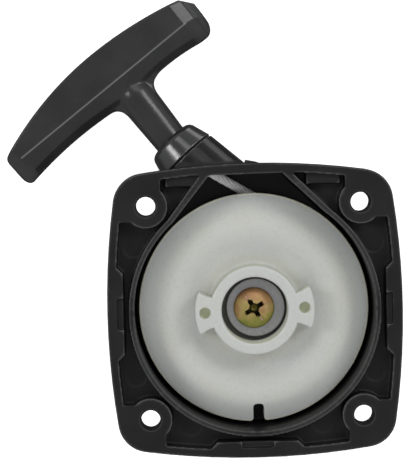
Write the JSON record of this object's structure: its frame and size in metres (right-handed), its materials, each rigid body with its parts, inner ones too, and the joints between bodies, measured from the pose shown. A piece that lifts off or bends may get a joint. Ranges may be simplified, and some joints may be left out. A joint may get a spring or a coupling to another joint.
{
  "type": "recoil starter",
  "caption": "Square-flanged pull starter with a sprung rope pulley, drive lugs, angled rope tower and T-shaped pull handle.",
  "frame": {"origin": "centre of the four mounting holes, on the flange face that bolts to the engine", "axes": "+Z out of the open side towards the engine, +X and +Y along the sides of the square flange, rope tower towards -X +Y"},
  "size_m": [0.1179, 0.1377, 0.0305],
  "materials": {
    "black_nylon": "fine moulded grain, satin",
    "guide_plastic": "smooth satin",
    "handle_plastic": "fine spark texture",
    "natural_nylon": "translucent off-white, satin",
    "spring_steel": "blued strip",
    "zinc_steel": "dull zinc",
    "yellow_zinc": "yellow chromate zinc",
    "brass_insert": "knurled, plain brass",
    "rope": "twisted nylon cord"
  },
  "bodies": {
    "root": {"housing": "black_nylon", "post_insert": "brass_insert", "rope_guide": "guide_plastic", "recoil_spring": "spring_steel", "pulley_washer": "zinc_steel", "pulley_screw": "yellow_zinc", "rope_run": "rope"},
    "pulley": {"pulley": "natural_nylon", "rope_coil": "rope", "reel_knot": "rope"},
    "rope_tip": {"rope_end": "rope", "handle_knot": "rope"},
    "handle": {"handle_grip": "handle_plastic", "handle_cap": "handle_plastic"}
  },
  "joints": [
    {"name": "handle_pull", "type": "slide", "parent": "root", "child": "rope_tip", "axis": [-0.606, 0.7955, 0], "range_m": [0, 0.75], "stiffness_N_per_m": 28, "springref_m": -0.4, "deforming": ["rope_run"]},
    {"name": "handle_swivel", "type": "hinge", "parent": "rope_tip", "child": "handle", "pos_m": [-0.02311, 0.0502, -0.0146], "axis": [-0.606, 0.7955, 0], "range_deg": [-180, 180]},
    {"name": "pulley_spin", "type": "hinge", "parent": "root", "child": "pulley", "pos_m": [0, 0, 0], "axis": [0, 0, 1], "range_deg": [0, 1500], "deforming": ["recoil_spring"]}
  ],
  "couplings": [
    {"joint": "pulley_spin", "follows": "handle_pull", "rad_per_m": 34.483}
  ]
}
